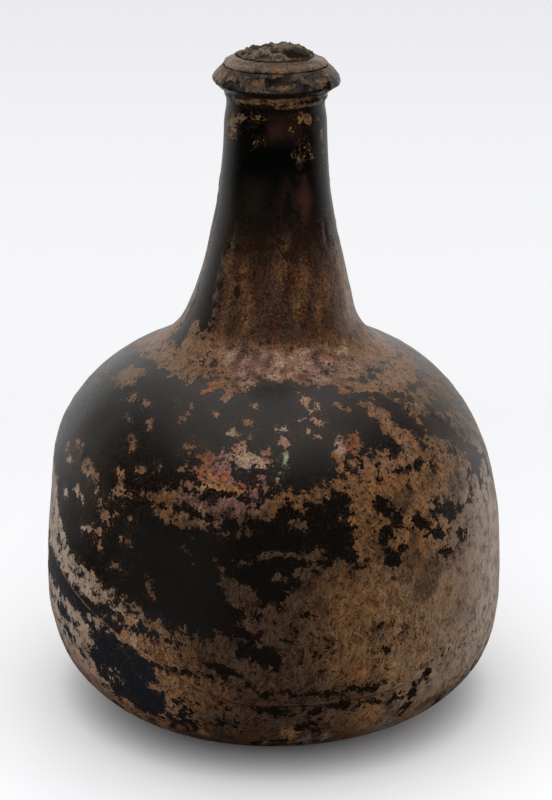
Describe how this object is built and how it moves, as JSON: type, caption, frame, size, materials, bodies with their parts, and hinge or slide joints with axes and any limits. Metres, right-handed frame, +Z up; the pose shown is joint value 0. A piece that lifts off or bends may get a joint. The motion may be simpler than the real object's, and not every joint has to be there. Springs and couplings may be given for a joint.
{
  "type": "onion bottle",
  "caption": "Squat free-blown glass bottle with a tall tapering neck, a string rim, a pushed-up base and the dried stump of its cork in the mouth.",
  "frame": {"origin": "centre of the flat ring that the bottle stands on", "axes": "+Z up through the mouth along the bottle's axis, -Y to the front, +X to the right"},
  "size_m": [0.14, 0.14, 0.2018],
  "materials": {
    "blown_glass": "near-black olive green glass, glossy where bare, with matt brown and iridescent burial crust",
    "rim_glass": "the same dark glass, dulled and dusted with ochre crust",
    "cork": "dry crumbling cork, rough and matt"
  },
  "bodies": {
    "bottle": {"glass_body": "blown_glass", "string_rim": "rim_glass"},
    "cork": {"cork_stump": "cork"}
  },
  "joints": [
    {"name": "cork_pull", "type": "slide", "parent": "bottle", "child": "cork", "axis": [0, 0, 1], "range_m": [0, 0.04]}
  ]
}
